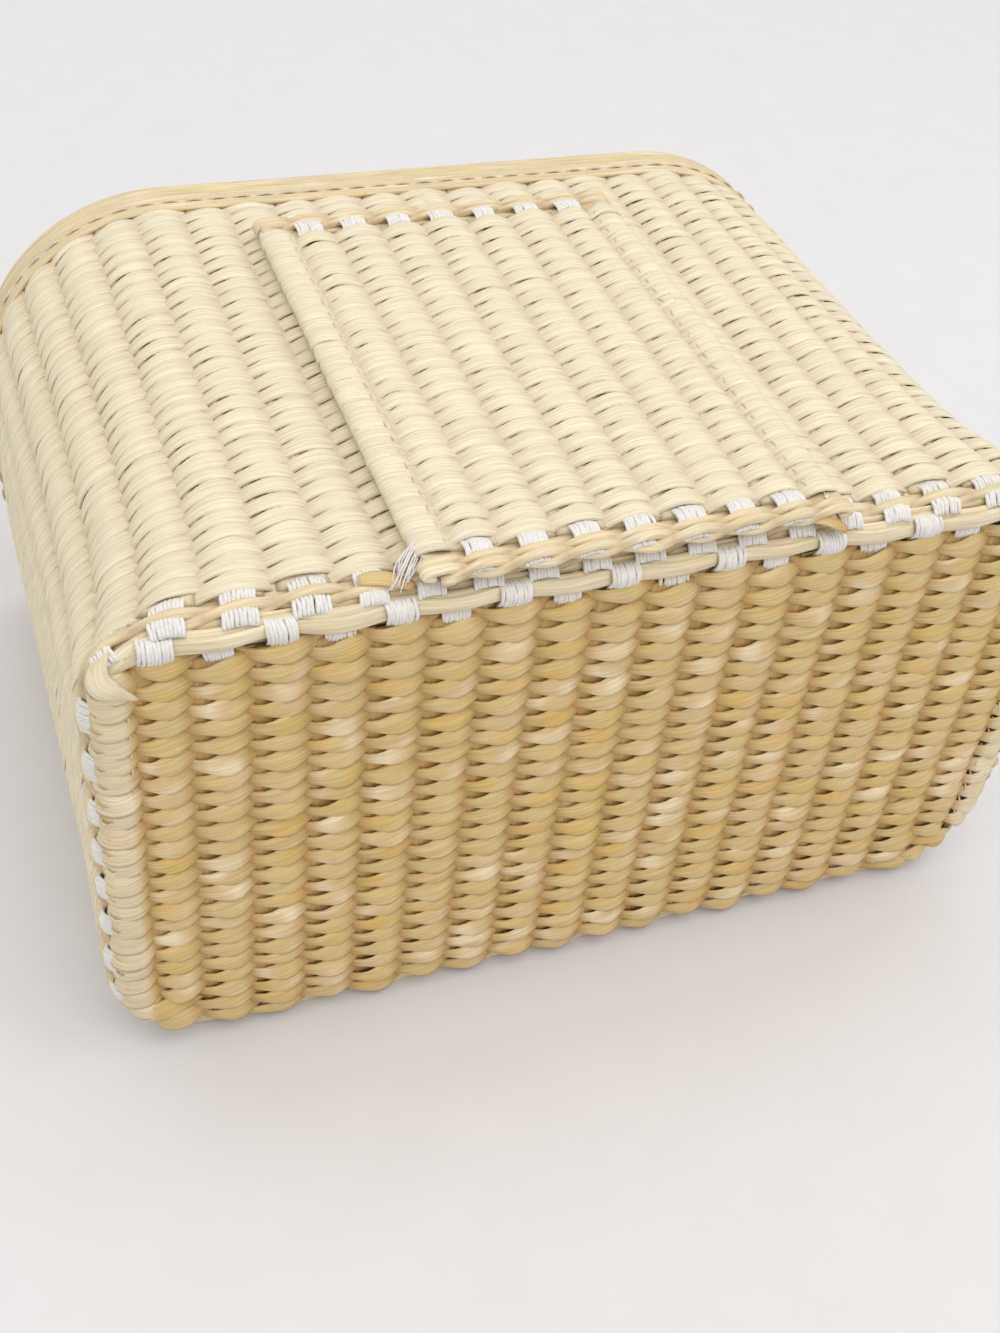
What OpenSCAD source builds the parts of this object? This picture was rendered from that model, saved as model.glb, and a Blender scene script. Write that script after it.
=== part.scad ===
// Basket pouch of straw wefts packed over white warp bundles, lying on one of its wide sides.
// The base faces -Y, the open mouth faces +Y, and the sewn-on front panel lies on top.
// Each mat is one piece of weaving: its floats are long low pyramids in brick order, and near
// its borders the white warp bundles show between the last loose wefts.

/* [Pouch] */
// Length of the base, along X
base_len = 193; // [170:1:220]
// Width of the base, along Z as the pouch lies
base_wid = 107; // [100:1:130]
// Height of the pouch from the base to the rim of the mouth, along Y
pouch_h = 145; // [135:1:180]
// Radius of the two lower corners of the base, which the pouch lies on
base_corner_r = 23; // [16:1:28]
// Radius of the two upper corners of the base
base_top_corner_r = 13; // [10:1:28]
// How far the wall stands out past the edge of the base
wall_proud = 2; // [2:0.25:3]
// Corner radius that the wall settles to away from the base
wall_corner_r = 40; // [34:1:48]
// Distance over which the corners of the wall settle
wall_settle = 18; // [12:1:30]

/* [Weave] */
// Spacing of the white warp bundles, and so of the ribs
warp_pitch = 10; // [9:0.5:14]
// Spacing of the straw wefts
weft_pitch = 2.1; // [2:0.1:3]
// Height of a float above the dip beside it
weave_relief = 1.8; // [1.4:0.1:2.2]
// Thickness of a mat below the dips
mat_core = 2.3; // [2.2:0.1:4]
// How far the outermost weft of a mat falls away below the dips
border_drop = 0.9; // [0.4:0.1:1.4]
// Width of the rolled selvage along the sides of a mat
selvage_w = 6; // [5:0.5:8]
// Number of loose wefts along the border of the base, before its warp shows
base_border_wefts = 1; // [1:1:2]
// Number of loose wefts along the border of the wall, before its warp shows
wall_border_wefts = 1; // [1:1:2]
// Number of loose wefts along the ends of the front panel, before its warp shows
panel_border_wefts = 2; // [1:1:3]

/* [Front panel] */
// Width of the panel
panel_w = 80; // [60:1:100]
// Length of the panel
panel_len = 118; // [80:1:121]
// Distance of the panel's lower border from the front of the base
panel_setback = 0.5; // [0:0.5:6]
// Offset of the panel from the middle of the pouch, along X
panel_offset = -2; // [-6:0.5:6]

/* [Rim binding] */
// Width of the binding over the edge of the mouth
rim_w = 12; // [8:1:16]
// Thickness of the binding
rim_t = 1.2; // [0.8:0.1:1.6]

/* [White warp ends and thread] */
// Width of a warp bundle where it shows
warp_end_w = 4.4; // [3:0.1:5]
// Length of a warp bundle that shows between two wefts
warp_end_len = 3.2; // [2.4:0.1:3.4]
// Radius of the sewing thread
thread_r = 0.4; // [0.2:0.05:0.5]
// Length of a stitch
stitch_len = 3; // [2:0.1:3.4]
// Spacing of the stitches
stitch_pitch = 4.2; // [4:0.1:6]

/* [Fits] */
// Clearance between pieces that lie on each other
seat_gap = 0.2; // [0.2:0.05:0.3]
// Clearance between the inner face of the wall and the binding
rim_inner_gap = 0.5; // [0.4:0.05:0.6]

/* [Hidden] */

straw = "#dcc391";
pale_straw = "#efe0b8";
warp_white = "#f4f1ec";
thread_white = "#e9e2d2";

mat_t = mat_core + weave_relief;
lift = base_wid / 2 + wall_proud;

// Half sizes of the wall's outline at the dips of its weave
wall_a = base_len / 2 + wall_proud - weave_relief;
wall_b = base_wid / 2 + wall_proud - weave_relief;
foot_grow = wall_proud - weave_relief;
flat_x = wall_a - wall_corner_r;
flat_z = wall_b - wall_corner_r;
corner_arc = wall_corner_r * PI / 2;
quarter_len = flat_x + corner_arc + flat_z;
wall_ribs = 2 * round(2 * quarter_len / warp_pitch);
rib_step = 4 * quarter_len / wall_ribs;

// Rows of the wall: woven rows up to the binding, then one plain row inside it
wall_y0 = mat_t;
wall_y1 = pouch_h - rim_t - seat_gap;
woven_len = pouch_h - rim_w - wall_y0;
wall_rows = 2 * floor(woven_len / weft_pitch / 2);
wall_weft = woven_len / wall_rows;
inner_ys = [wall_y0, wall_y0 + wall_settle / 2, wall_y0 + 2 * wall_settle, wall_y1];

roll_share = 0.55;
warp_seat = 0.35;
bar_h = weave_relief - warp_seat;
bar_r = (warp_end_w * warp_end_w / 4 + bar_h * bar_h) / (2 * bar_h);
thread_seat = 1.5 * thread_r;
$fn = 48;

// A warp bundle takes the place of a float in the two rows after the loose wefts of a border
function shows_warp(i, k, loose) = (i + k) % 2 == 0 && (k == loose || k == loose + 1);

// Corner radius of the wall's outline at the height y above its lower border, from the radius r
function wall_radius(y, r) = wall_corner_r - (wall_corner_r - r) * exp(-y / wall_settle);

// Point [x, z, normal angle] at the share t along a corner of radius r inside the corner zone
function corner_point(t, r) =
    let (run = wall_corner_r - r, arc = r * PI / 2, d = t * (2 * run + arc))
    d < run ? [d, wall_corner_r, 90]
    : d < run + arc ? let (th = 90 - (d - run) / r * 180 / PI)
        [run + r * cos(th), run + r * sin(th), th]
    : [wall_corner_r, 2 * run + arc - d, 0];

// Point [x, z, normal angle] at the distance s along the first quarter of the wall's outline
function quarter_point(s, r) =
    s < flat_x ? [s, wall_b, 90]
    : s < flat_x + corner_arc ?
        let (p = corner_point((s - flat_x) / corner_arc, r)) [flat_x + p[0], flat_z + p[1], p[2]]
    : [wall_a, quarter_len - s, 0];

// Point [x, z, normal angle] of rib i, counted from the middle of the top
function rib_point(i, y) =
    let (s = i * rib_step, q = floor(s / quarter_len),
         foot = (q == 1 || q == 2 ? base_corner_r : base_top_corner_r) + foot_grow,
         r = wall_radius(y - wall_y0, foot))
    q < 1 ? quarter_point(s, r)
    : q < 2 ? let (p = quarter_point(2 * quarter_len - s, r)) [p[0], -p[1], -p[2]]
    : q < 3 ? let (p = quarter_point(s - 2 * quarter_len, r)) [-p[0], -p[1], 180 + p[2]]
    : let (p = quarter_point(4 * quarter_len - s, r)) [-p[0], p[1], 180 - p[2]];

// Point of the wall on rib i, raised by h from the dips along the outline's normal
function wall_point(i, y, h) =
    let (p = rib_point(i, y)) [p[0] + h * cos(p[2]), y, p[1] + h * sin(p[2])];

// Frame that lies on rib i at the height y: Y along the rib, Z out of the wall
function rib_frame(i, y, h) =
    let (a = wall_point(i, y - weft_pitch, 0), b = wall_point(i, y + weft_pitch, 0),
         along = (b - a) / norm(b - a), turn = rib_point(i, y)[2],
         side = cross(along, [cos(turn), 0, sin(turn)]), across = side / norm(side),
         out = cross(across, along), p = wall_point(i, y, 0) + h * out)
    [for (row = [0 : 2]) [across[row], along[row], out[row], p[row]]];

// Height of the weave above the dips of the wall
function wall_height(i, k) =
    k == 0 ? -border_drop
    : k >= wall_rows || shows_warp(i, k, wall_border_wefts) || (i + k) % 2 == 1 ? 0
    : weave_relief;

// Two triangles of one cell of a woven grid, cut from dip to dip so that each float stays whole
function cell(a, b, c, d, odd) = odd ? [[a, c, b], [a, d, c]] : [[a, d, b], [b, d, c]];

// Reach of the base from its middle line at the distance x from its middle, for corners of radius r
function base_reach(x, r) =
    let (over = max(0, abs(x) - (base_len / 2 - r)))
    base_wid / 2 - r + sqrt(max(0, r * r - over * over));

// Places across a flat mat: edge, roll and stitch groove of each selvage, and the ribs between
function mat_columns(width) =
    let (half = width / 2, roll = selvage_w * roll_share,
         ribs = round((width - 2 * selvage_w) / warp_pitch),
         step = (width - 2 * selvage_w) / ribs)
    concat([-half, -half + roll, -half + selvage_w],
           [for (j = [0 : ribs - 1]) -half + selvage_w + (j + 0.5) * step],
           [half - selvage_w, half - roll, half]);

function mat_row_count(length) = 2 * round(length / weft_pitch / 2);

// Height of a flat mat at column i and row k
function mat_height(i, k, last, rows, loose) =
    let (side = min(i, last - i), end = min(k, rows - k))
    side == 0 || end == 0 ? mat_core - border_drop
    : side == 1 ? mat_t
    : side == 2 || shows_warp(i, end, loose) || (i + k) % 2 == 1 ? mat_core
    : mat_t;

// Flat woven mat: ribs along Y from lows to highs, back on Z = 0
module flat_mat(xs, lows, highs, rows, loose) {
    last = len(xs) - 1;
    ring = [for (k = [0 : rows]) [0, k],
            for (i = [1 : last]) [i, rows],
            for (k = [rows - 1 : -1 : 0]) [last, k],
            for (i = [last - 1 : -1 : 1]) [i, 0]];
    grid = [for (i = [0 : last]) for (k = [0 : rows])
        [xs[i], lows[i] + (highs[i] - lows[i]) * k / rows, mat_height(i, k, last, rows, loose)]];
    function at(i, k) = i * (rows + 1) + k;
    back = [for (p = ring) let (q = grid[at(p[0], p[1])]) [q[0], q[1], 0]];
    count = len(ring);
    base_id = len(grid);
    centre_id = base_id + count;
    top_faces = [for (i = [0 : last - 1]) for (k = [0 : rows - 1])
        each cell(at(i, k), at(i + 1, k), at(i + 1, k + 1), at(i, k + 1), (i + k) % 2 == 1)];
    side_faces = [for (j = [0 : count - 1])
        let (n = (j + 1) % count, p = ring[j], q = ring[n])
        each [[at(p[0], p[1]), base_id + n, at(q[0], q[1])],
              [at(p[0], p[1]), base_id + j, base_id + n]]];
    back_faces = [for (j = [0 : count - 1]) [base_id + (j + 1) % count, base_id + j, centre_id]];
    middle = floor(last / 2);
    centre = [0, (lows[middle] + highs[middle]) / 2, 0];
    polyhedron(concat(grid, back, [centre]), concat(top_faces, side_faces, back_faces));
}

// Bar of white warp threads with a rounded top, along Y, with its flat underside on Z = 0
module warp_bar() {
    rotate([90, 0, 0])
        linear_extrude(warp_end_len, center = true)
            intersection() {
                translate([0, bar_h - bar_r])
                    circle(bar_r);
                translate([-warp_end_w / 2, 0])
                    square([warp_end_w, bar_h]);
            }
}

// Warp ends of a flat mat, seated in two rows beside both of its ends
module mat_warp_ends(xs, lows, highs, rows, loose) {
    last = len(xs) - 1;
    for (i = [3 : last - 3])
        for (k = [loose, loose + 1, rows - loose - 1, rows - loose])
            if (shows_warp(i, min(k, rows - k), loose))
                translate([xs[i], lows[i] + (highs[i] - lows[i]) * k / rows, mat_core + warp_seat])
                    warp_bar();
}

// Running stitches in the groove beside both selvages of a flat mat, which goes from low to high
module mat_stitches(xs, low, high) {
    count = floor((high - low - 2 * selvage_w) / stitch_pitch);
    start = (low + high - (count - 1) * stitch_pitch) / 2;
    for (x = [xs[2], xs[len(xs) - 3]])
        for (j = [0 : count - 1])
            translate([x, start + j * stitch_pitch, mat_core + thread_seat])
                rotate([90, 0, 0])
                    cylinder(h = stitch_len, r = thread_r, center = true);
}

base_xs = mat_columns(base_len);
base_lows = [for (x = base_xs) -base_reach(x, base_corner_r)];
base_highs = [for (x = base_xs) base_reach(x, base_top_corner_r)];
base_rows = mat_row_count(base_wid);
panel_xs = mat_columns(panel_w);
panel_lows = [for (x = panel_xs) 0];
panel_highs = [for (x = panel_xs) panel_len];
panel_rows = mat_row_count(panel_len);

// Puts the pouch on the floor with the middle of its box over the origin
module lay() {
    translate([0, -pouch_h / 2, lift])
        children();
}

module on_base() {
    lay()
        translate([0, mat_t, 0])
            rotate([90, 0, 0])
                children();
}

module on_panel() {
    lay()
        translate([panel_offset, panel_setback, lift + seat_gap])
            children();
}

module base_mat() {
    color(straw)
        on_base()
            flat_mat(base_xs, base_lows, base_highs, base_rows, base_border_wefts);
}

module front_panel() {
    color(pale_straw)
        on_panel()
            flat_mat(panel_xs, panel_lows, panel_highs, panel_rows, panel_border_wefts);
}

// Woven tube: outer woven rows and plain inner rows joined at both ends
module wall_mat() {
    rows = wall_rows + 1;
    inner_rows = len(inner_ys);
    function row_y(k) = k > wall_rows ? wall_y1 : wall_y0 + k * wall_weft;
    function at(i, k) = k * wall_ribs + i % wall_ribs;
    function inner(i, k) = (rows + 1 + k) * wall_ribs + i % wall_ribs;
    points = [for (k = [0 : rows]) for (i = [0 : wall_ribs - 1])
                  wall_point(i, row_y(k), wall_height(i, k)),
              for (y = inner_ys) for (i = [0 : wall_ribs - 1]) wall_point(i, y, -mat_core)];
    outer_faces = [for (k = [0 : rows - 1]) for (i = [0 : wall_ribs - 1])
        each cell(at(i, k), at(i + 1, k), at(i + 1, k + 1), at(i, k + 1), (i + k) % 2 == 1)];
    inner_faces = [for (k = [0 : inner_rows - 2]) for (i = [0 : wall_ribs - 1])
        each [[inner(i, k), inner(i + 1, k), inner(i + 1, k + 1)],
              [inner(i, k), inner(i + 1, k + 1), inner(i, k + 1)]]];
    end_faces = [for (i = [0 : wall_ribs - 1])
        each [[at(i, 0), at(i + 1, 0), inner(i + 1, 0)],
              [at(i, 0), inner(i + 1, 0), inner(i, 0)],
              [at(i, rows), inner(i + 1, inner_rows - 1), at(i + 1, rows)],
              [at(i, rows), inner(i, inner_rows - 1), inner(i + 1, inner_rows - 1)]]];
    color(pale_straw)
        lay()
            polyhedron(points, concat(outer_faces, inner_faces, end_faces));
}

// Prism along Y with the wall's rounded outline, grown by g, from y0 to y1
module mouth_prism(g, y0, y1) {
    r = wall_corner_r + g;
    translate([0, y1, 0])
        rotate([90, 0, 0])
            linear_extrude(y1 - y0) {
                square([2 * flat_x, 2 * (wall_b + g)], center = true);
                square([2 * (wall_a + g), 2 * flat_z], center = true);
                for (sx = [-1, 1])
                    for (sz = [-1, 1])
                        translate([sx * flat_x, sz * flat_z])
                            circle(r, $fn = 96);
            }
}

// Binding of U section folded over the edge of the mouth
module rim_binding() {
    low = pouch_h - rim_w + seat_gap;
    inner_g = -mat_core - rim_inner_gap;
    color(straw)
        lay()
            difference() {
                mouth_prism(seat_gap + rim_t, low, pouch_h);
                mouth_prism(inner_g - rim_t, low - rim_t, pouch_h + rim_t);
                difference() {
                    mouth_prism(seat_gap, low - rim_t, pouch_h - rim_t);
                    mouth_prism(inner_g, low - 2 * rim_t, pouch_h);
                }
            }
}

module base_warp_ends() {
    color(warp_white)
        on_base()
            mat_warp_ends(base_xs, base_lows, base_highs, base_rows, base_border_wefts);
}

module panel_warp_ends() {
    color(warp_white)
        on_panel()
            mat_warp_ends(panel_xs, panel_lows, panel_highs, panel_rows, panel_border_wefts);
}

module wall_warp_ends() {
    color(warp_white)
        lay()
            for (i = [0 : wall_ribs - 1])
                for (k = [wall_border_wefts, wall_border_wefts + 1])
                    if (shows_warp(i, k, wall_border_wefts))
                        multmatrix(rib_frame(i, wall_y0 + k * wall_weft, warp_seat))
                            warp_bar();
}

module base_seam_thread() {
    color(thread_white)
        on_base()
            mat_stitches(base_xs, base_lows[2], base_highs[2]);
}

module panel_seam_thread() {
    color(thread_white)
        on_panel()
            mat_stitches(panel_xs, panel_lows[2], panel_highs[2]);
}

base_mat();
wall_mat();
front_panel();
rim_binding();
base_warp_ends();
wall_warp_ends();
panel_warp_ends();
base_seam_thread();
panel_seam_thread();
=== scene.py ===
"""Basket pouch of straw wefts woven over white warp bundles, lying on one of its wide sides."""

import math

import bpy
import numpy as np
from mathutils import Matrix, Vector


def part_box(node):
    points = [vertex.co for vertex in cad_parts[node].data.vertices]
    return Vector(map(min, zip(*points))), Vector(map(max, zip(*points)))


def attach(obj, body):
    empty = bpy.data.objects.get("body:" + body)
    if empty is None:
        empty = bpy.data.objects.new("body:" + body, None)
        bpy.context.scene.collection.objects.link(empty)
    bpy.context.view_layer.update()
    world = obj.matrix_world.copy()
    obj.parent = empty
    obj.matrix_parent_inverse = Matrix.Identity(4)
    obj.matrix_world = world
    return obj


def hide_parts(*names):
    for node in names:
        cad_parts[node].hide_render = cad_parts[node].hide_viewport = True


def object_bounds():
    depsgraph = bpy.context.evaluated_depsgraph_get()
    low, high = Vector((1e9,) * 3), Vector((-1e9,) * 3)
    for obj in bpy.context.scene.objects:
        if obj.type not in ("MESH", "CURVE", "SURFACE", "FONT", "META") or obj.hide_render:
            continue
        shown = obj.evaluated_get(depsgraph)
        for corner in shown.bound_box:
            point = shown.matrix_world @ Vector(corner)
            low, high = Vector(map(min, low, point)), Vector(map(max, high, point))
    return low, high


bl_info = {
    "name": "Basket Pouch",
    "version": (1, 0, 0),
    "blender": (4, 5, 0),
    "location": "3D View > Sidebar > Pouch",
    "description": "Weaves a straw pouch strand by strand around its packed solids",
    "category": "Object",
}

MM = 0.001
SAMPLES = 8
SELVAGE_FOLD = 0.55
WIDE_END = 1.25
# Share of painted light: how far the straw of the wall and the panel is paled to stand in for the
# stronger light falling on them.
PAINTED_LIGHT_SHARE = 0.85
FLECK = (0.40, 0.25, 0.10, 1.0)
AGED_THREAD = (0.72, 0.66, 0.56)
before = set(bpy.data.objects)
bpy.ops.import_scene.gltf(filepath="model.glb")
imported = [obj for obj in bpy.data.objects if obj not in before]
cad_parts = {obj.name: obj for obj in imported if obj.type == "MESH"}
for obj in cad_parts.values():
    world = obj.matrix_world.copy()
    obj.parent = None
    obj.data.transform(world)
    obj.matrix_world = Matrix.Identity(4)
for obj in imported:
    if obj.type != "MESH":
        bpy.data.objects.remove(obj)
SOLID_LOW, SOLID_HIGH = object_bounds()
BASE_LOW, BASE_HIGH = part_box("base_mat")
PANEL_LOW, PANEL_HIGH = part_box("front_panel")


def length(name, description, default):
    return bpy.props.FloatProperty(
        name=name, description=description, default=default, precision=5, unit="LENGTH"
    )


def share(name, description, default):
    return bpy.props.FloatProperty(name=name, description=description, default=default, min=0)


def angle(name, description, degrees):
    return bpy.props.FloatProperty(
        name=name, description=description, default=math.radians(degrees), subtype="ANGLE"
    )


def colour(name, description, default):
    return bpy.props.FloatVectorProperty(
        name=name, description=description, default=default, min=0, max=1, size=3, subtype="COLOR"
    )


class PouchSizes(bpy.types.PropertyGroup):
    """Sizes of the pouch's outline"""

    base_len: length("Base length", "Length of the base along X", BASE_HIGH.x - BASE_LOW.x)
    base_wid: length("Base width", "Width of the base along Z", BASE_HIGH.z - BASE_LOW.z)
    pouch_h: length("Height", "From the base to the rim of the mouth", SOLID_HIGH.y - SOLID_LOW.y)
    low_corner: length("Lower corners", "Radius of the base's lower corners", 23 * MM)
    top_corner: length("Upper corners", "Radius of the base's upper corners", 13 * MM)
    wall_proud: length("Wall proud", "How far the wall stands out past the base", 2 * MM)
    wall_corner: length("Wall corners", "Corner radius of the wall away from the base", 40 * MM)
    wall_settle: length("Settling", "Distance over which the wall's corners settle", 18 * MM)
    panel_w: length("Panel width", "Width of the front panel", PANEL_HIGH.x - PANEL_LOW.x)
    panel_len: length("Panel length", "Length of the front panel", PANEL_HIGH.y - PANEL_LOW.y)
    panel_offset: length(
        "Panel offset", "Middle of the panel along X", (PANEL_LOW.x + PANEL_HIGH.x) / 2
    )
    panel_setback: length(
        "Panel setback", "From the front of the base to the panel", PANEL_LOW.y - SOLID_LOW.y
    )
    seat_gap: length("Seat gap", "Clearance between pieces that lie on each other", 0.2 * MM)
    rim_w: length("Binding width", "Width of the binding of the mouth", 12 * MM)
    rim_t: length("Binding thickness", "Thickness of the binding", 1.2 * MM)


class PouchWeave(bpy.types.PropertyGroup):
    """Sizes of the strands and their spacing"""

    warp_pitch: length("Warp spacing", "Spacing of the white warp bundles", 10 * MM)
    weft_pitch: length("Weft spacing", "Spacing of the straw wefts", 2.1 * MM)
    relief: length("Relief", "Height of a float above the dip beside it", 1.8 * MM)
    mat_core: length("Core", "Thickness of a mat below the dips", 2.3 * MM)
    selvage: length("Selvage", "Width of the rolled edge of a mat", 6 * MM)
    straw_half: length("Straw thickness", "Half the thickness of a straw", 0.5 * MM)
    loose: length("Looseness", "How far a straw strays sideways", 0.22 * MM)
    cover: share("Cover", "Half width of a straw over the weft spacing", 1.28)
    pinch: share("Pinch", "How much a straw narrows between two bundles", 0.4)
    tight_pinch: share("Tight pinch", "How much a straw of the wall or panel narrows there", 0.2)
    twist: angle("Twist", "How far a straw of the base turns between two bundles", -15)
    tight_twist: angle("Tight twist", "How far a straw of the wall or panel turns there", 3)
    slant: length("Slant", "How far a float climbs from end to end", 0.4 * MM)
    warp_w: length("Warp width", "Width of a warp bundle", 5.4 * MM)
    thread_r: length("Warp thread radius", "Radius of one thread of a warp bundle", 0.4 * MM)
    seed: bpy.props.IntProperty(name="Seed", description="Seed of the straws' variation", default=7)


class PouchColours(bpy.types.PropertyGroup):
    """Colours of the strands and the stage"""

    straw: colour("Straw", "Main colour of the straw", (0.70, 0.51, 0.222))
    straw_gold: colour("Golden straw", "Yellowest straws", (0.69, 0.47, 0.15))
    straw_rose: colour("Rosy straw", "Pink and beige straws", (0.72, 0.53, 0.27))
    straw_pale: colour("Pale straw", "Lightest straws", (0.84, 0.71, 0.44))
    straw_green: colour("Green straw", "Straws that were cut green", (0.67, 0.52, 0.222))
    # Painted shade: the dark brown that tucked straw is mixed towards stands in for the shade in
    # the weave's hollows.
    straw_painted_tuck_shade: colour("Painted shade of tucked straw", "Dark brown painted as shade where a straw is tucked under", (0.50, 0.31, 0.10))
    # Painted light: a paler copy of the straw colour that stands in for the stronger light on lit
    # faces; the base's selvages are blended towards it too.
    painted_light_straw: colour("Painted light on straw", "Paler straw standing in for strong light on lit faces", (0.82, 0.755, 0.57))
    warp: colour("Warp", "White of the warp bundles", (0.80, 0.78, 0.75))
    thread: colour("Thread", "Colour of the sewing thread", (0.66, 0.55, 0.36))
    floor: colour("Floor", "Colour of the floor", (0.72, 0.705, 0.715))


# Strand meshes


def packed(arrays):
    """Arrays one after the other, as a mesh takes them."""
    return np.concatenate(arrays).astype(np.float32).ravel()


def oval(points, flat):
    """Unit outline of a strand's section: round, or flat as a leaf with thin edges."""
    turn = np.linspace(0, 2 * np.pi, points, endpoint=False)
    c, s = np.cos(turn), np.sin(turn)
    rise = np.sign(s) * (1 - np.abs(c) ** 2.5) ** 0.8 if flat else s
    return c, rise


class Strands:
    """Collects strands, and makes one mesh of them with the coordinates their fibres follow."""

    def __init__(self, flat=True):
        self.section = 8 if flat else 6
        self.a, self.b = oval(self.section, flat)
        self.count = 0
        self.points, self.fibres, self.depths, self.quads, self.caps = [], [], [], [], []

    def add(self, path, hint, half_w, half_t, roll=0.0, closed=False, seed=0.0, shown=1.0):
        """Adds a strand along path. hint points across it, half_w that way and half_t out of it.
        shown is 1 where it lies open and 0 where it is tucked away; towards 0 the straw material
        paints shade there in a dark brown."""
        n, m = len(path), self.section
        if closed:
            along = np.roll(path, -1, 0) - np.roll(path, 1, 0)
        else:
            along = np.gradient(path, axis=0)
        along /= np.linalg.norm(along, axis=1, keepdims=True)
        across = hint - (hint * along).sum(1, keepdims=True) * along
        across /= np.linalg.norm(across, axis=1, keepdims=True)
        out = np.cross(along, across)
        roll = np.broadcast_to(roll, n)[:, None]
        w = np.broadcast_to(half_w, n)[:, None] * self.a
        t = np.broadcast_to(half_t, n)[:, None] * self.b
        side = w * np.cos(roll) - t * np.sin(roll)
        lift = w * np.sin(roll) + t * np.cos(roll)
        ring = path[:, None] + across[:, None] * side[..., None] + out[:, None] * lift[..., None]
        steps = np.linalg.norm(np.diff(path, axis=0), axis=1)
        run = np.concatenate([[0], np.cumsum(steps)])
        fibre = np.stack(
            [np.repeat(run[:, None], m, 1) / MM, w / MM, np.full((n, m), float(seed))], 2
        )
        index = self.count + np.arange(n * m).reshape(n, m)
        here = index if closed else index[:-1]
        ahead = np.roll(index, -1, 0) if closed else index[1:]
        turned = [here, np.roll(here, -1, 1), np.roll(ahead, -1, 1), ahead]
        self.quads.append(np.stack(turned, 2).reshape(-1, 4))
        if not closed:
            self.caps += [index[0, ::-1], index[-1]]
        self.points.append(ring.reshape(-1, 3))
        self.fibres.append(fibre.reshape(-1, 3))
        self.depths.append(np.repeat(np.broadcast_to(shown, n), m))
        self.count += n * m

    def add_thread(self, path, hint, radius, rng):
        """Adds a round thread with a seed of its own."""
        self.add(path, hint, radius, radius, seed=rng.uniform(0, 100))

    def build(self, name, material, slot, *nodes):
        """Makes one smooth object of the strands, which rides on the pouch's one body and stands
        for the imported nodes."""
        quads = np.concatenate(self.quads)
        caps = np.array(self.caps, int).reshape(-1, self.section)
        corners = np.concatenate([quads.ravel(), caps.ravel()])
        sizes = np.concatenate([np.full(len(quads), 4), np.full(len(caps), self.section)])
        starts = np.concatenate([[0], np.cumsum(sizes)[:-1]])
        mesh = bpy.data.meshes.new(name)
        mesh.vertices.add(self.count)
        mesh.vertices.foreach_set("co", packed(self.points))
        mesh.loops.add(len(corners))
        mesh.loops.foreach_set("vertex_index", corners.astype(np.int32))
        mesh.polygons.add(len(starts))
        mesh.polygons.foreach_set("loop_start", starts.astype(np.int32))
        mesh.update(calc_edges=True)
        if mesh.validate():
            raise RuntimeError(f"{name} has faces that are not valid")
        mesh.shade_smooth()
        layer = mesh.attributes.new("strand", "FLOAT_VECTOR", "POINT")
        layer.data.foreach_set("vector", packed(self.fibres))
        layer = mesh.attributes.new("shown", "FLOAT", "POINT")
        layer.data.foreach_set("value", packed(self.depths))
        mesh.materials.append(material)
        obj = bpy.data.objects.new(name, mesh)
        bpy.context.scene.collection.objects.link(obj)
        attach(obj, "root")
        if nodes:
            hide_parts(*nodes)


def spread(values, closed, eased=True):
    """Values at the crossings, carried over the samples between them."""
    values = np.asarray(values, float)
    after = np.roll(values, -1) if closed else values[1:]
    before = values if closed else values[:-1]
    part = np.arange(SAMPLES) / SAMPLES
    if eased:
        part = (1 - np.cos(np.pi * part)) / 2
    path = (before[:, None] + (after - before)[:, None] * part).ravel()
    return path if closed else np.append(path, values[-1])


def swaps(level, closed):
    """How much a weft changes sides, and where it does, at each sample."""
    after = np.roll(level, -1) if closed else level[1:]
    before = level if closed else level[:-1]
    part = np.sin(np.pi * np.arange(SAMPLES) / SAMPLES)
    turn = ((before - after)[:, None] / 2 * part).ravel()
    return turn if closed else np.append(turn, 0.0)


class Weft:
    """One straw on its way over and under the warp bundles. at holds the places of the bundles,
    or their spacing round the wall if it is closed. straw is its half width and half thickness."""

    uneven = 0.07
    swell = 0.3
    wobble = math.radians(5)
    tilt, tight_tilt = math.radians(4), math.radians(1.5)
    tight_calm = 0.5

    def __init__(self, at, level, weave, rng, closed=False, straw=None, ends=1.0, tight=False):
        level = np.asarray(level, float)
        turn = swaps(level, closed)
        narrow = turn * turn
        pinch = weave.tight_pinch if tight else weave.pinch
        twist = weave.tight_twist if tight else weave.twist
        tilt = self.tight_tilt if tight else self.tilt
        calm = self.tight_calm if tight else 1.0
        half_w, half_t = straw or (weave.weft_pitch * weave.cover, weave.straw_half)
        jitter = calm * rng.normal(0, 1, (4, len(level)))
        widths = 1 + self.uneven * jitter[2]
        if not closed:
            widths[[0, -1]] *= ends
        self.closed = closed
        self.at = np.arange(len(turn)) * at / SAMPLES if closed else spread(at, False, eased=False)
        self.level = spread(level + self.uneven * jitter[0], closed)
        self.drift = spread(weave.loose * jitter[1], closed) + weave.slant * turn
        self.half_w = half_w * spread(widths, closed) * (1 - pinch * np.roll(narrow, 1))
        self.half_t = half_t * (1 + self.swell * narrow)
        self.roll = spread(self.wobble * jitter[3] - tilt, closed) + twist * turn
        # The shown weight: it falls where the straw crosses the middle plane, and the material
        # paints shade there.
        self.shown = np.abs(spread(level, closed))
        self.seed = rng.uniform(0, 100)


class FlatMat:
    """A flat mat: x across its ribs, v along them, and h out of its middle plane."""

    def __init__(self, origin, up, out):
        self.origin, self.up, self.out = (np.array(p, float) for p in (origin, up, out))
        self.right = np.cross(self.up, self.out)

    def place(self, x, v, h):
        x, v, h = np.broadcast_arrays(x, v, h)
        return self.origin + x[:, None] * self.right + v[:, None] * self.up + h[:, None] * self.out

    def along_warp(self, x, v):
        return self.up


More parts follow.
